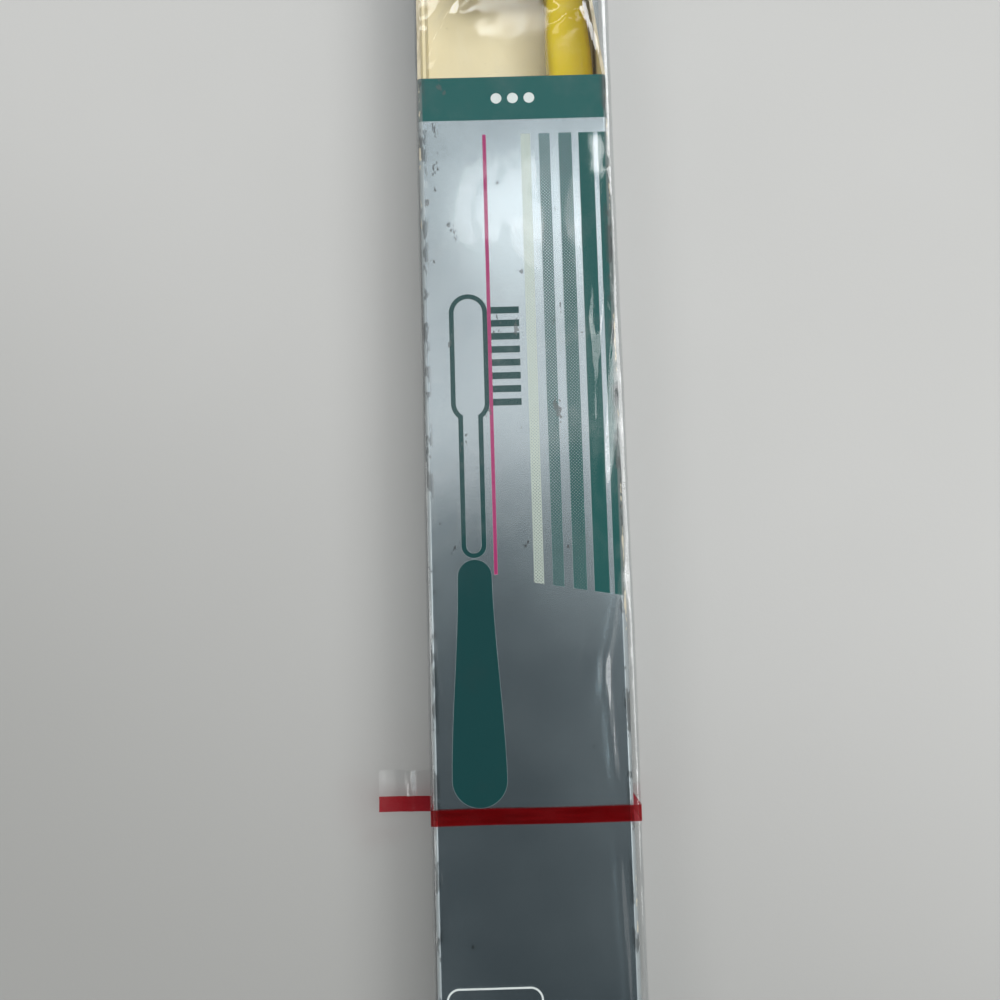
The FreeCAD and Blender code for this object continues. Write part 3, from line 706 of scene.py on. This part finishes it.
def carton_sleeve(outside, inside, edge):
    """The carton's tube in one piece: rounded creases, a cut window, and a wall that leans in beside it."""
    piece = tube("carton_sleeve", SLEEVE_LOW, SLEEVE_HIGH, is_end, CREASE_ROUND, 4)
    divide(piece, ACROSS, 12)
    divide(piece, UP, 12)
    divide(piece, ALONG, 10)
    divide(piece, ALONG, 5)
    for y in (WINDOW_START, WINDOW_END, SIDE_END, -SIDE_END):
        cut_across(piece, ALONG, y)
    beside_crease = CREASE_ROUND + 0.12 * MM
    for axis in (ACROSS, UP):
        cut_across(piece, axis, SLEEVE_LOW[axis] + beside_crease)
        cut_across(piece, axis, SLEEVE_HIGH[axis] - beside_crease)
    below_crease = FRONT - CREASE_ROUND * 1.02

    def in_window(face):
        middle = face.calc_center_median()
        return WINDOW_START < middle.y < WINDOW_END and middle.z > below_crease

    pick(piece, "faces", in_window)
    bpy.ops.mesh.delete(type="FACE")

    def past_side(face):
        middle = face.calc_center_median()
        return abs(middle.y) > SIDE_END and abs(face.normal.z) < 0.99

    pick(piece, "faces", past_side)
    bpy.ops.mesh.delete(type="FACE")
    move_points(piece, board_shift)
    for finish in (outside, inside, edge):
        piece.data.materials.append(finish)
    apply_modifier(piece, "SOLIDIFY", thickness=BOARD, offset=-1, material_offset=1, material_offset_rim=2)
    smooth(piece, 40)
    nodes = ["front_panel", "front_end_strip", "back_panel", "left_panel", "right_panel"]
    dress(piece, "carton", "printed_board", nodes)


def window_share(y):
    """0 a little past the ends of the window, and 1 near its middle."""
    share = (y - WINDOW_START + LEAN_LEAD) / (WINDOW_END - WINDOW_START + LEAN_EXTRA)
    return math.sin(math.pi * share) ** 2 if 0 < share < 1 else 0


def board_shift(place, normal):
    """Soft waves in the board, inwards only, ends clear of the lids, and a wall leaning in at the window."""
    shift = Vector((0, 0, 0))
    wave = noise.noise(Vector((place.x * 90, place.y * 45, place.z * 90)))
    depth = BOARD_WAVE * (wave - 0.6)
    if abs(place.y) < SIDE_END - 4 * MM:
        shift += normal * depth
    if abs(place.y) > SIDE_END + LID_CLEARANCE:
        shift.y -= math.copysign(LID_CLEARANCE, place.y)
    height = max((place.z - LEAN_START) / (FRONT - LEAN_START), 0)
    if place.x > 0 and WINDOW_START < place.y < WINDOW_END:
        shift.x -= WALL_LEAN * window_share(place.y) * height ** 1.2 * ease(place.x, 0.008, 0.012)
    return shift


def rounded_section(thickness, width, radius):
    """A ring with the outline of a rounded rectangle, in its own plane."""
    deselect()
    bpy.ops.mesh.primitive_plane_add(size=1)
    piece = named("handle_section")
    piece.scale = (thickness, width, 1)
    settle()
    pick(piece, "verts", lambda vert: True)
    limit = min(thickness, width) * 0.499
    bpy.ops.mesh.bevel(offset=min(radius, limit), segments=5, affect="VERTICES")
    bpy.ops.mesh.select_all(action="SELECT")
    bpy.ops.mesh.delete(type="ONLY_FACE")
    finish_mesh(piece)
    return piece


def elbow():
    """Where the axes of the handle and of the head meet."""
    low, high = corners("handle")
    half_bend = (HANDLE_LEAN + HEAD_LEAN) / 2
    inset = BEND_RADIUS * (1 / math.cos(half_bend) - 1)
    x = high.x - NECK_THICKNESS / 2 + inset
    y = (HANDLE_LENGTH * math.cos(HANDLE_LEAN) - REACH_LENGTH * math.cos(HEAD_LEAN)) / 2
    return Vector((x, y, (low.z + high.z) / 2))


def axis_point(along, lean):
    """A point on an axis that leans from the carton's length, measured from the elbow."""
    return elbow() + Vector((-along * math.sin(lean), along * math.cos(lean), 0))


def handle_stations():
    """The moulding's sections from butt to tip: place, lean, width, thickness and corner radius."""
    half_bend = (HANDLE_LEAN + HEAD_LEAN) / 2
    tangent = BEND_RADIUS * math.tan(half_bend)
    straight = HANDLE_LENGTH - tangent
    stations = []
    steps = 7
    spans = len(HANDLE_KEYS) - 1
    for step in range(steps * spans + 1):
        span, share = min(step // steps, spans - 1), step / steps
        blend = ease(share - span, 0, 1)
        width, thickness = (a + (b - a) * blend for a, b in zip(HANDLE_KEYS[span], HANDLE_KEYS[span + 1]))
        along = straight * step / (steps * spans) - HANDLE_LENGTH
        place = axis_point(along, -HANDLE_LEAN)
        stations.append([place, -HANDLE_LEAN, width * MM, thickness * MM, EDGE_RADIUS])
    first = stations[0]
    for depth in (0.55, 0.15, 0.0):
        drop = BUTT_RADIUS * (1 - math.sqrt(1 - (1 - depth) ** 2))
        place = axis_point(depth * BUTT_RADIUS - HANDLE_LENGTH, -HANDLE_LEAN)
        radius = max(EDGE_RADIUS - drop, BUTT_EDGE_RADIUS)
        stations.insert(0, [place, -HANDLE_LEAN, first[2] - 2 * drop, first[3] - 2 * drop, radius])
    stations[3][0] = axis_point(BUTT_RADIUS - HANDLE_LENGTH, -HANDLE_LEAN)
    stations[:4] = sorted(stations[:4], key=lambda station: station[0].y)
    bend_middle = (HEAD_LEAN - HANDLE_LEAN) / 2
    for step in range(1, 6):
        lean = (HANDLE_LEAN + HEAD_LEAN) * step / 6 - HANDLE_LEAN
        x = BEND_RADIUS * (math.cos(lean) - math.cos(bend_middle) / math.cos(half_bend))
        y = BEND_RADIUS * (math.sin(lean) - math.sin(bend_middle) / math.cos(half_bend))
        stations.append([elbow() + Vector((x, y, 0)), lean, NECK_WIDTH, NECK_THICKNESS, EDGE_RADIUS])
    return stations + head_stations(tangent)


def head_stations(start):
    """Sections along the neck, the shoulders and the head, closing over the round tip."""
    root = REACH_LENGTH - HEAD_LENGTH
    shoulder = root + SHOULDER_LENGTH
    tip_start = REACH_LENGTH - HEAD_TIP_RADIUS
    flat = HEAD_WIDTH / 2 - HEAD_TIP_RADIUS
    stops = [start, 0.45 * root, 0.65 * root, 0.85 * root]
    stops += [root + SHOULDER_LENGTH * share for share in (0, 0.25, 0.5, 0.75, 1.0)]
    stops += [shoulder + (tip_start - shoulder) * share for share in (0.25, 0.5, 0.75, 1.0)]
    stops += [tip_start + HEAD_TIP_RADIUS * share for share in (0.35, 0.6, 0.8, 0.92, 0.985)]
    stations = []
    for along in stops:
        width = NECK_WIDTH + (HEAD_WIDTH - NECK_WIDTH) * ease(along, root - 2 * MM, shoulder)
        flattening = ease(along, 0.6 * root, root + 2 * MM)
        thickness = NECK_THICKNESS + (HEAD_THICKNESS - NECK_THICKNESS) * flattening
        if along > tip_start:
            width = 2 * (flat + math.sqrt(HEAD_TIP_RADIUS ** 2 - (along - tip_start) ** 2))
        thinning = max(along - (REACH_LENGTH - HEAD_TIP_ROUND), 0)
        thickness -= 2 * (HEAD_TIP_ROUND - math.sqrt(HEAD_TIP_ROUND ** 2 - thinning ** 2))
        stations.append([axis_point(along, HEAD_LEAN), HEAD_LEAN, width, thickness, HEAD_EDGE_RADIUS])
    return stations


def brush_moulding(plastic):
    """Handle, neck and head: rounded sections set along the bent axis and bridged."""
    rings = []
    for place, lean, width, thickness, radius in handle_stations():
        ring = rounded_section(thickness, width, radius)
        # The section's own x stays across the carton, and its y stands up.
        leaning = Matrix.Translation(place) @ Matrix.Rotation(lean, 4, "Z")
        ring.matrix_world = leaning @ Matrix.Rotation(math.pi / 2, 4, "X")
        take(ring)
        settle()
        rings.append(ring)
    size = len(rings[0].data.vertices)
    count = len(rings)
    piece = join("brush_moulding", rings)
    pick(piece, "edges", lambda edge: True)
    for index in range(count - 1):
        bpy.context.view_layer.objects.active = piece
        mesh = bmesh.from_edit_mesh(piece.data)
        first, last = index * size, (index + 2) * size

        def on_pair(edge):
            return all(first <= vert.index < last for vert in edge.verts) and is_ring_edge(edge, size)

        mesh.verts.index_update()
        pick(piece, "edges", on_pair)
        bpy.ops.mesh.bridge_edge_loops()
    pick(piece, "edges", lambda edge: edge.is_boundary)
    bpy.ops.mesh.fill_holes(sides=0)
    pick(piece, "faces", lambda face: True)
    bpy.ops.mesh.normals_make_consistent(inside=False)
    apply_modifier(piece, "SUBSURF", levels=1, render_levels=1)
    smooth(piece, 60)
    dress(piece, "brush", "brush_plastic", ["handle"], plastic)


def is_ring_edge(edge, size):
    """True for an edge of one of the sections, not for one that joins two of them."""
    return edge.verts[0].index // size == edge.verts[1].index // size


def tuft():
    """One tuft, standing on the origin: packed filaments, each slightly splayed and trimmed."""
    draw = random.Random(7)
    spots = [(0.0, 0.0)]
    for ring, count in FILAMENT_RINGS:
        for step in range(count):
            angle = 2 * math.pi * step / count + 0.3 * ring
            reach = (TUFT_RADIUS - BRISTLE_RADIUS) * ring / len(FILAMENT_RINGS)
            spots.append((reach * math.cos(angle), reach * math.sin(angle)))
    filaments = []
    for x, y in spots:
        height = BRISTLE_LENGTH + BRISTLE_ROOT - TUFT_DOME * (math.hypot(x, y) / TUFT_RADIUS) ** 2
        height -= draw.random() * TRIM_SPREAD
        deselect()
        middle = (x, y, height / 2)
        turn = (0, 0, draw.random())
        bpy.ops.mesh.primitive_cylinder_add(
            vertices=FILAMENT_SIDES, radius=BRISTLE_RADIUS, depth=height, location=middle, rotation=turn
        )
        filament = named("filament")
        settle()
        pick(filament, "faces", lambda face: face.normal.z > 0.9)
        bpy.ops.mesh.inset(thickness=BRISTLE_RADIUS * 0.4, depth=BRISTLE_RADIUS * 0.5)
        splay = (x * FILAMENT_SPLAY + draw.uniform(-1, 1) * TIP_SPREAD, y * FILAMENT_SPLAY, 0)
        bpy.ops.transform.translate(value=splay)
        finish_mesh(filament)
        filaments.append(filament)
    return join("tuft", filaments)


def tuft_rows(nylon):
    """Four rows of tufts, copied from one and set along the head."""
    model = tuft()
    draw = random.Random(21)
    last = REACH_LENGTH - TIP_MARGIN
    face = HEAD_THICKNESS / 2 - BRISTLE_ROOT
    outward = Vector((-math.cos(HEAD_LEAN), -math.sin(HEAD_LEAN), 0))
    stand = outward.to_track_quat("Z", "Y").to_matrix().to_4x4()
    for row in range(4):
        outer = row in (0, 3)
        tufts = []
        for step in range(1 if outer else 0, 9 if outer else 10):
            across = Vector((0, 0, (row - 1.5) * ROW_PITCH))
            foot = axis_point(last - step * TUFT_PITCH, HEAD_LEAN) + outward * face + across
            copy = model.copy()
            copy.data = model.data.copy()
            bpy.context.collection.objects.link(copy)
            copy.matrix_world = Matrix.Translation(foot) @ stand @ Matrix.Rotation(draw.random() * 6, 4, "Z")
            take(copy)
            settle()
            tufts.append(copy)
        piece = join(f"bristles_{row + 1}", tufts)
        smooth(piece, 50)
        dress(piece, "brush", "bristle", [f"tuft_row_{row + 1}"], nylon)
    bpy.data.objects.remove(model)


# Creases pressed into the film over the front: ends, half width and height, in millimetres.
FRONT_CREASES = (
    ((-7.4, 60.0), (-12.0, 50.4), 0.75, 0.27),
    ((-5.6, 62.4), (-9.0, 57.0), 0.5, 0.13),
    ((-12.4, 55.5), (-4.0, 58.5), 0.5, 0.08),
    ((3.6, 61.5), (8.4, 57.0), 0.6, 0.12),
    ((5.2, 55.4), (10.0, 58.6), 0.65, 0.24),
    ((8.8, 60.0), (11.8, 50.0), 0.45, 0.10),
    ((-12.5, 72.0), (3.0, 66.0), 0.6, 0.14),
    ((12.0, 80.0), (2.0, 74.0), 0.6, 0.14),
    ((-11.0, 88.0), (6.0, 80.0), 0.7, 0.12),
    ((12.6, 24.0), (10.2, -8.0), 0.55, 0.13),
    ((12.6, -14.0), (8.0, -38.0), 0.6, 0.10),
    ((9.2, -27.0), (10.4, -46.0), 0.5, 0.14),
    ((6.6, -24.0), (4.0, -44.0), 0.5, 0.06),
    ((-12.4, -20.0), (-9.0, -46.0), 0.5, 0.06),
    ((10.1, -50.0), (11.2, -78.0), 0.5, 0.14),
    ((-12.0, -49.5), (-9.5, -66.0), 0.5, 0.08),
    ((5.0, -49.5), (7.0, -64.0), 0.45, 0.06),
    ((-2.0, -76.0), (9.0, -92.0), 0.6, 0.10),
)


def stand_off(place):
    """How far the film stands off on the right: most at the near half, and nothing at the carton's ends."""
    swell = 0.45 + 0.55 * ease(place.y, 0.030, -0.030)
    rising = ease(place.y, -0.101, -0.085)
    falling = ease(place.y, 0.101, 0.085)
    return STAND_OFF * swell * rising * falling * ease(place.x, HALF_WIDTH - STAND_OFF_REACH, HALF_WIDTH)


def crease_height(x, y):
    """How high the creases lift the film at a place over the front."""
    total = 0
    for (x0, y0), (x1, y1), half, height in FRONT_CREASES:
        start, end = Vector((x0, y0)), Vector((x1, y1))
        run = end - start
        spot = Vector((x / MM, y / MM))
        share = min(max((spot - start).dot(run) / run.length_squared, 0), 1)
        gap = (spot - start - run * share).length
        fade = 1 - (2 * share - 1) ** 4
        if gap < 4 * half:
            total += height * fade * math.exp(-((gap / half) ** 2))
    return total * MM


def stripe_swell(x, y):
    """A soft swell in the film over the stripes, falling towards the right fold."""
    across = ease(x, HALF_WIDTH, 8.6 * MM) * ease(x, 2 * MM, 8 * MM)
    along = ease(y, -14 * MM, 2 * MM) * ease(y, 46 * MM, 34 * MM)
    return SWELL_HEIGHT * across * along


def film_shift(place, normal):
    """Soft ripples and creases in the film, and the wall that stands off on the right."""
    shift = Vector((0, 0, 0))
    long_wave = noise.noise(Vector((place.x * 170, place.y * 28, place.z * 170)))
    short_wave = noise.noise(Vector((place.x * 420 + 7, place.y * 190, place.z * 420)))
    broad_wave = noise.noise(Vector((place.x * 75 + 3, place.y * 55, place.z * 75)))
    depth = (0.10 * broad_wave + 0.05 * long_wave + 0.018 * short_wave) * MM
    if normal.z > 0.7:
        depth += crease_height(place.x, place.y) + stripe_swell(place.x, place.y) - FILM_DROP
        from_fold = HALF_WIDTH - abs(place.x)
        pinch = noise.noise(Vector((place.x * 60, place.y * 520, 11)))
        depth += FOLD_PINCH * pinch * ease(from_fold, 1.4 * MM, 0.1 * MM)
    shift += normal * depth
    shift.x += stand_off(place)
    return shift


def overwrap(node, start, end, film):
    """One part of the overwrap: a creased sleeve from the tear tape to a folded end, with its side seam."""
    low = Vector((WRAP_LOW.x, min(start, end), WRAP_LOW.z))
    high = Vector((WRAP_HIGH.x, max(start, end), WRAP_HIGH.z))
    way = 1 if end > start else -1
    piece = tube(node + "_sleeve", low, high, lambda face: face.normal.y * way < -0.9, FILM_FOLD, 3)
    divide(piece, ACROSS, 60)
    divide(piece, UP, 16)
    for parts in (13, 13) if way > 0 else (7, 8):
        divide(piece, ALONG, parts)
    move_points(piece, film_shift)
    apply_modifier(piece, "SOLIDIFY", thickness=FILM, offset=-1)
    pieces = [piece, film_seam(node, low, high)]
    pieces += [end_flap(node, high if way > 0 else low, way, upper) for upper in (False, True)]
    piece = join(node + "_wrap", pieces)
    smooth(piece, 50)
    dress(piece, node, "clear_film", [node], film)


def film_seam(node, low, high):
    """The lapped edge of the film along the left side."""
    middle = (low.z + high.z) / 2
    strip_low = Vector((low.x - SEAM, low.y, middle - SEAM_HALF))
    strip_high = Vector((low.x - SEAM_GAP, high.y, middle + SEAM_HALF))
    strip = block(node + "_seam", strip_low, strip_high)
    divide(strip, ALONG, 40)
    divide(strip, UP, 6)

    def ripple(place, normal):
        wave = noise.noise(Vector((place.z * 300, place.y * 110, 3)))
        return Vector((-0.05 * MM * (0.5 + wave), 0, 0.2 * MM * noise.noise(Vector((5, place.y * 60, 1)))))

    move_points(strip, ripple)
    return strip


def end_flap(node, corner, way, upper):
    """A trapezoid of film folded over the end, from its lower or upper edge past the middle."""
    depth = WRAP_HIGH.z - WRAP_LOW.z
    reach = depth / 2 + END_FLAP_OVERLAP
    near = corner.y + way * (END_FLAP_STEP if upper else 0.0)
    far = near + way * END_FLAP
    z0, z1 = (WRAP_HIGH.z - reach, WRAP_HIGH.z) if upper else (WRAP_LOW.z, WRAP_LOW.z + reach)
    low = Vector((WRAP_LOW.x, min(near, far), z0))
    high = Vector((WRAP_HIGH.x, max(near, far), z1))
    flap = block(node + "_end_flap", low, high)
    tip = z0 if upper else z1
    pick(flap, "verts", lambda vert: abs(vert.co.z - tip) < 0.1 * MM)
    span = WRAP_HIGH.x - WRAP_LOW.x
    bpy.ops.transform.resize(value=((span - 2 * reach) / span, 1, 1))
    finish_mesh(flap)
    return flap


def tear_tape(red):
    """The red tape round the film."""
    piece = tube("tear_tape_ring", WRAP_LOW, WRAP_HIGH, is_end, FILM_FOLD, 3)
    divide(piece, ACROSS, 24)
    divide(piece, UP, 14)
    divide(piece, ALONG, 3)

    def follow(place, normal):
        wave = noise.noise(Vector((place.x * 120, 4, place.z * 120)))
        shift = normal * 0.03 * MM * wave
        shift.x += stand_off(place)
        shift.y = 0.06 * MM * noise.noise(Vector((place.x * 90, 9, place.z * 90)))
        return shift

    move_points(piece, follow)
    apply_modifier(piece, "SOLIDIFY", thickness=TAPE, offset=-1)
    smooth(piece, 50)
    dress(piece, "carton", "red_tape", ["tear_tape"], red)


def tab_curl(place):
    """How far the free end lifts, growing outwards, with a kink part way."""
    out = (WRAP_LOW.x - place.x) / MM
    kink = 0.28 * math.exp(-((out - 3.0) / 0.45) ** 2)
    return (0.018 * out * out + kink * 0.6) * MM


def tear_tab(red, film):
    """The tape's free end and the creased flap of film beside it."""
    low, high = corners("tear_tab")
    strip = block("tear_tab_strip", low, high)
    divide(strip, ACROSS, 16)
    divide(strip, ALONG, 3)

    def strip_shift(place, normal):
        slant = TAB_SHIFT + TAB_SLANT * (WRAP_LOW.x - place.x)
        ragged = 0.08 * MM * noise.noise(Vector((place.x * 500, place.y * 500, 2)))
        return Vector((ragged if place.x < low.x + 0.2 * MM else 0, slant, tab_curl(place)))

    move_points(strip, strip_shift)
    smooth(strip, 50)
    dress(strip, "tear_tab", "red_tape", ["tear_tab"], red)
    low, high = corners("tab_film")
    flap = block("tab_film_flap", low, high)
    divide(flap, ACROSS, 18)
    divide(flap, ALONG, 10)

    def flap_shift(place, normal):
        out = (WRAP_LOW.x - place.x) / MM
        wave = noise.noise(Vector((place.x * 450, place.y * 300, 6)))
        crease = 0.11 * math.exp(-((out - 2.9 - 0.2 * (place.y - low.y) / MM) / 0.3) ** 2)
        rise = tab_curl(place) + (0.05 * wave + crease) * MM
        edge = 0.25 * MM * noise.noise(Vector((place.x * 350, 8, 2))) * ease(place.y, low.y, high.y)
        return Vector((0, edge + TAB_SHIFT + TAB_SLANT * out * MM, rise))

    move_points(flap, flap_shift)
    smooth(flap, 50)
    dress(flap, "tear_tab", "clear_film", ["tab_film"], film)


def paint_nodes(raw, brass):
    """Better finishes for the CAD nodes that stay in view."""
    faces = {
        "top_board": ((0, 1, 0), ["top_lid", "top_dust_flap_left", "top_dust_flap_right"]),
        "bottom_board": ((0, -1, 0), ["bottom_lid", "bottom_dust_flap_left", "bottom_dust_flap_right"]),
        "tuck_board": ((0, 0, 1), ["top_tuck_tab", "bottom_tuck_tab"]),
    }
    for name, (direction, nodes) in faces.items():
        finish = flap_board(name, direction)
        for node in nodes:
            paint(node, finish)
    paint("glue_flap", raw)
    paint("tuft_anchors", brass)


def paint(node, finish):
    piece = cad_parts[node]
    piece.data.materials.clear()
    piece.data.materials.append(finish)


def table_top():
    """A wide pale table under the carton."""
    deselect()
    bpy.ops.mesh.primitive_plane_add(size=3, location=(0, 0, -0.02 * MM))
    floor = named("table_top")
    settle()
    floor.data.materials.append(pale_table())


def soft_lamp(name, place, width, height, power):
    """A soft lamp that points at the carton."""
    data = bpy.data.lights.new(name, "AREA")
    data.shape = "ELLIPSE"
    data.size = width
    data.size_y = height
    data.energy = power
    lamp = bpy.data.objects.new(name, data)
    lamp.location = place
    lamp.rotation_euler = (-lamp.location).to_track_quat("-Z", "Y").to_euler()
    bpy.context.collection.objects.link(lamp)
    return lamp


# The dark side of the room: degrees from the middle of the patch that the front mirrors, and the level there.
PATCH_MIDDLE = Vector((0.02, -0.276, 0.96)).normalized()
PATCH_NARROWING = 1.5
PATCH_LEVELS = (
    (0, 0.068),
    (4, 0.072),
    (10, 0.078),
    (16, 0.085),
    (20.5, 0.19),
    (23, 0.50),
    (26, 0.95),
    (30, 0.86),
    (34, 0.48),
    (39, 0.33),
    (60, 0.47),
)

# Soft lamps: name, place, width, height and power. The fill isn't mirrored.
LAMPS = (
    ("right_softbox", (0.62, 0.06, 1.05), 0.9, 0.5, 5.2),
    ("left_softbox", (-0.60, -0.10, 1.05), 0.6, 0.4, 1.8),
    ("ceiling_lamp", (0.06, 0.49, 1.28), 0.20, 0.14, 0.12),
    ("far_lamp", (0.38, 0.63, 1.02), 0.32, 0.32, 1.8),
    ("window_lamp", (-0.02, 0.72, 1.18), 0.30, 0.06, 0.18),
    ("stripe_lamp", (0.36, 0.12, 1.18), 0.5, 0.12, 0.5),
)
FILL_LAMP = ("overhead_fill", (0.10, 0.05, 1.25), 0.5, 0.5, 4.1)


def room_light():
    """An even room with a dark patch overhead, towards the near end, and soft lamps round the carton."""
    world = bpy.data.worlds.new("soft_room")
    world.use_nodes = True
    bpy.context.scene.world = world
    tree = world.node_tree

    def add(kind, source, operation=None):
        """A node that is fed by another node's output."""
        made = tree.nodes.new(kind)
        if operation:
            made.operation = operation
        tree.links.new(source, made.inputs[0])
        return made

    direction = tree.nodes.new("ShaderNodeTexCoord").outputs["Generated"]
    narrowed = add("ShaderNodeVectorMath", direction, "MULTIPLY")
    narrowed.inputs[1].default_value = (PATCH_NARROWING, 1, 1)
    unit = add("ShaderNodeVectorMath", narrowed.outputs[0], "NORMALIZE")
    towards = add("ShaderNodeVectorMath", unit.outputs[0], "DOT_PRODUCT")
    towards.inputs[1].default_value = PATCH_MIDDLE
    angle = add("ShaderNodeMath", towards.outputs["Value"], "ARCCOSINE")
    spread = add("ShaderNodeMapRange", angle.outputs[0])
    spread.inputs["From Max"].default_value = math.radians(PATCH_LEVELS[-1][0])
    ramp = add("ShaderNodeValToRGB", spread.outputs[0])
    while len(ramp.color_ramp.elements) < len(PATCH_LEVELS):
        ramp.color_ramp.elements.new(0.5)
    for element, (degrees, level) in zip(ramp.color_ramp.elements, PATCH_LEVELS):
        element.position = degrees / PATCH_LEVELS[-1][0]
        # The darker the level, the bluer.
        shade = min(level / 0.5, 1)
        element.color = (level * (0.72 + 0.28 * shade), level * (0.91 + 0.09 * shade), level, 1)
    tree.links.new(ramp.outputs[0], tree.nodes["Background"].inputs["Color"])
    for lamp in LAMPS:
        soft_lamp(*lamp)
    soft_lamp(*FILL_LAMP).visible_glossy = False


def photo_camera():
    """The camera, almost overhead and about 14 cm above the carton."""
    target = Vector((-3.18 * MM, -8.2 * MM, FRONT))
    distance = 142.1 * MM
    tilt, yaw, roll = math.radians(5.49), math.radians(-0.37), math.radians(1.615)
    away = Vector((math.sin(yaw), -math.sin(tilt), math.cos(tilt))).normalized()
    data = bpy.data.cameras.new("photo_camera")
    data.sensor_width = 36
    data.lens = 39.6
    data.clip_start = 0.005
    camera = bpy.data.objects.new("photo_camera", data)
    across = Vector((0, 1, 0)).cross(away).normalized()
    up = away.cross(across)
    level = Matrix((across, up, away)).transposed().to_4x4()
    placed = Matrix.Translation(target + away * distance) @ level
    camera.matrix_world = placed @ Matrix.Rotation(-roll, 4, "Z")
    bpy.context.collection.objects.link(camera)
    bpy.context.scene.camera = camera


def build():
    silver, raw, edge = silver_print(), raw_board(), cut_edge()
    film, red = clear_film(), red_tape()
    photo_camera()
    room_light()
    table_top()
    carton_sleeve(silver, raw, edge)
    brush_moulding(yellow_plastic())
    tuft_rows(nylon_bristle())
    overwrap("film_main", WRAP_HIGH.y, SLEEVE_HIGH.y + END_GAP, film)
    overwrap("film_cap", WRAP_LOW.y, SLEEVE_LOW.y - END_GAP, film)
    tear_tape(red)
    tear_tab(red, film)
    paint_nodes(raw, brass_anchor())
    bpy.context.scene.view_settings.view_transform = "Standard"


build()
